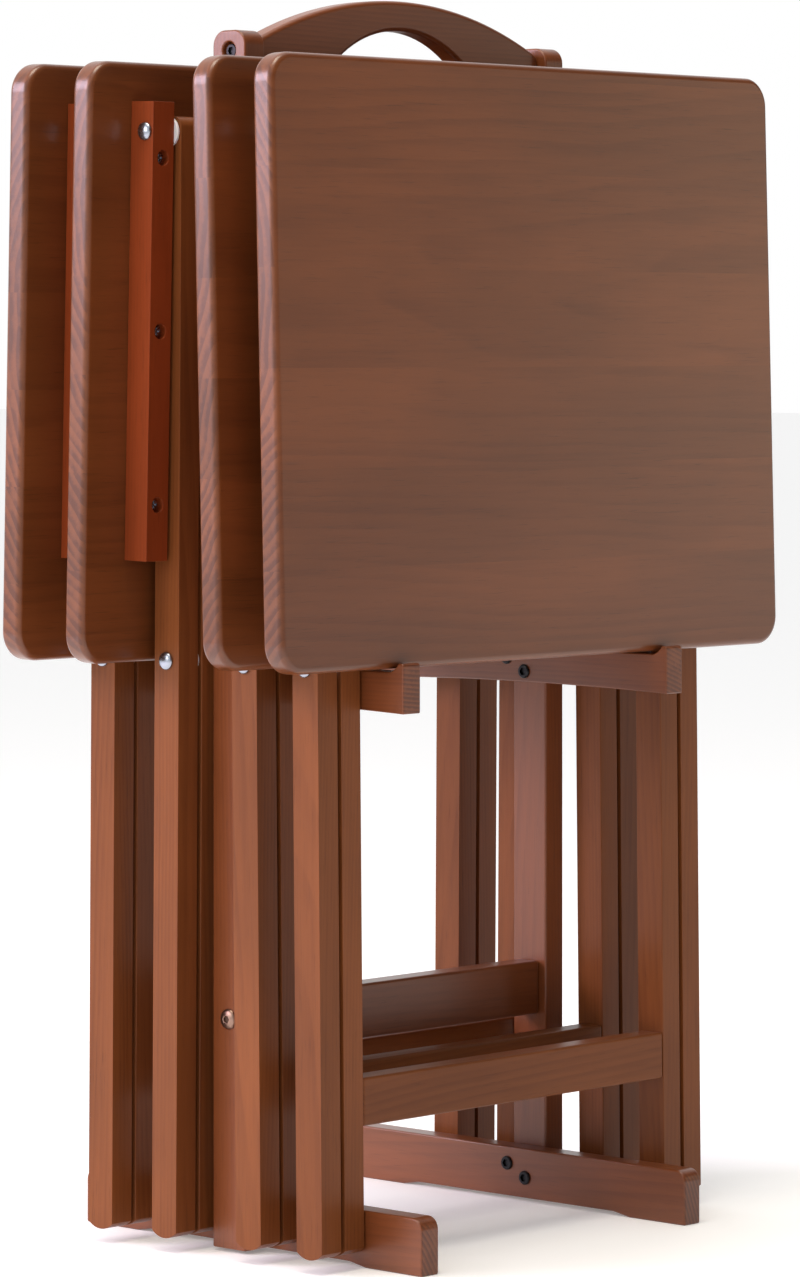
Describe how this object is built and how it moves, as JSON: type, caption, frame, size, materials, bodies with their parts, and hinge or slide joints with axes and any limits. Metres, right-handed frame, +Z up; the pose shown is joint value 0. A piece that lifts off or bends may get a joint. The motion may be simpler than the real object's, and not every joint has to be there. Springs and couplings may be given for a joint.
{
  "type": "folding tray table set on a stand",
  "caption": "Folding wooden tray tables with scissor legs and hinged tops, hung folded on a carrying stand with an arched handle.",
  "frame": {"origin": "on the floor under the middle of the set's bounding box", "axes": "+Z up, +X along the tabletops' long side to the right, +Y to the back; tray 1 is at the front"},
  "size_m": [0.4905, 0.3, 0.8033],
  "materials": {
    "top_wood": "satin lacquered reddish-brown stain, grain along the width",
    "leg_wood": "satin lacquered reddish-brown stain, grain along the length",
    "batten_wood": "satin lacquered reddish-brown stain",
    "stand_wood": "satin lacquered brown stain",
    "steel": "zinc plated"
  },
  "bodies": {
    "stand": {"stand_upright_left": "stand_wood", "stand_upright_right": "stand_wood", "stand_foot_left": "stand_wood", "stand_foot_right": "stand_wood", "stand_arm_left": "stand_wood", "stand_arm_right": "stand_wood", "stand_handle": "stand_wood", "stand_stretcher": "stand_wood"},
    "tray_1_legs": {"tray_1_outer_leg_left": "leg_wood", "tray_1_outer_leg_right": "leg_wood", "tray_1_inner_leg_left": "leg_wood", "tray_1_inner_leg_right": "leg_wood", "tray_1_lower_rail": "leg_wood", "tray_1_lock_bar": "leg_wood", "tray_1_scissor_bolt_left": "steel", "tray_1_scissor_bolt_right": "steel"},
    "tray_1_top": {"tray_1_tabletop": "top_wood", "tray_1_batten_left": "batten_wood", "tray_1_batten_right": "batten_wood", "tray_1_hinge_bolt_left": "steel", "tray_1_hinge_bolt_right": "steel"},
    "tray_2": {"tray_2_outer_leg_left": "leg_wood", "tray_2_outer_leg_right": "leg_wood", "tray_2_inner_leg_left": "leg_wood", "tray_2_inner_leg_right": "leg_wood", "tray_2_lower_rail": "leg_wood", "tray_2_lock_bar": "leg_wood", "tray_2_scissor_bolt_left": "steel", "tray_2_scissor_bolt_right": "steel", "tray_2_tabletop": "top_wood", "tray_2_batten_left": "batten_wood", "tray_2_batten_right": "batten_wood", "tray_2_hinge_bolt_left": "steel", "tray_2_hinge_bolt_right": "steel"},
    "tray_3": {"tray_3_outer_leg_left": "leg_wood", "tray_3_outer_leg_right": "leg_wood", "tray_3_inner_leg_left": "leg_wood", "tray_3_inner_leg_right": "leg_wood", "tray_3_lower_rail": "leg_wood", "tray_3_lock_bar": "leg_wood", "tray_3_scissor_bolt_left": "steel", "tray_3_scissor_bolt_right": "steel", "tray_3_tabletop": "top_wood", "tray_3_batten_left": "batten_wood", "tray_3_batten_right": "batten_wood", "tray_3_hinge_bolt_left": "steel", "tray_3_hinge_bolt_right": "steel"},
    "tray_4_legs": {"tray_4_outer_leg_left": "leg_wood", "tray_4_outer_leg_right": "leg_wood", "tray_4_inner_leg_left": "leg_wood", "tray_4_inner_leg_right": "leg_wood", "tray_4_lower_rail": "leg_wood", "tray_4_lock_bar": "leg_wood", "tray_4_scissor_bolt_left": "steel", "tray_4_scissor_bolt_right": "steel"},
    "tray_4_top": {"tray_4_tabletop": "top_wood", "tray_4_batten_left": "batten_wood", "tray_4_batten_right": "batten_wood", "tray_4_hinge_bolt_left": "steel", "tray_4_hinge_bolt_right": "steel"}
  },
  "joints": [
    {"name": "tray_1_take_off", "type": "slide", "parent": "stand", "child": "tray_1_legs", "axis": [0, -0.342, 0.9397], "range_m": [0, 1]},
    {"name": "tray_1_top_swing", "type": "hinge", "parent": "tray_1_legs", "child": "tray_1_top", "pos_m": [0.0043, -0.08503, 0.71288], "axis": [-1, 0, 0], "range_deg": [0, 88.1]},
    {"name": "tray_2_take_off", "type": "slide", "parent": "stand", "child": "tray_2", "axis": [0, -0.5, 0.866], "range_m": [0, 0.5]},
    {"name": "tray_3_take_off", "type": "slide", "parent": "stand", "child": "tray_3", "axis": [0, 0.5, 0.866], "range_m": [0, 0.5]},
    {"name": "tray_4_take_off", "type": "slide", "parent": "stand", "child": "tray_4_legs", "axis": [0, 0.342, 0.9397], "range_m": [0, 1]},
    {"name": "tray_4_top_swing", "type": "hinge", "parent": "tray_4_legs", "child": "tray_4_top", "pos_m": [-0.0042, 0.08128, 0.71286], "axis": [1, 0, 0], "range_deg": [0, 88.1]}
  ],
  "couplings": [
    {"joint": "tray_1_top_swing", "follows": "tray_1_take_off", "rad_per_m": 1.5359},
    {"joint": "tray_2_take_off", "follows": "tray_1_take_off", "ratio": 0.5},
    {"joint": "tray_4_top_swing", "follows": "tray_4_take_off", "rad_per_m": 1.5359},
    {"joint": "tray_3_take_off", "follows": "tray_4_take_off", "ratio": 0.5}
  ]
}
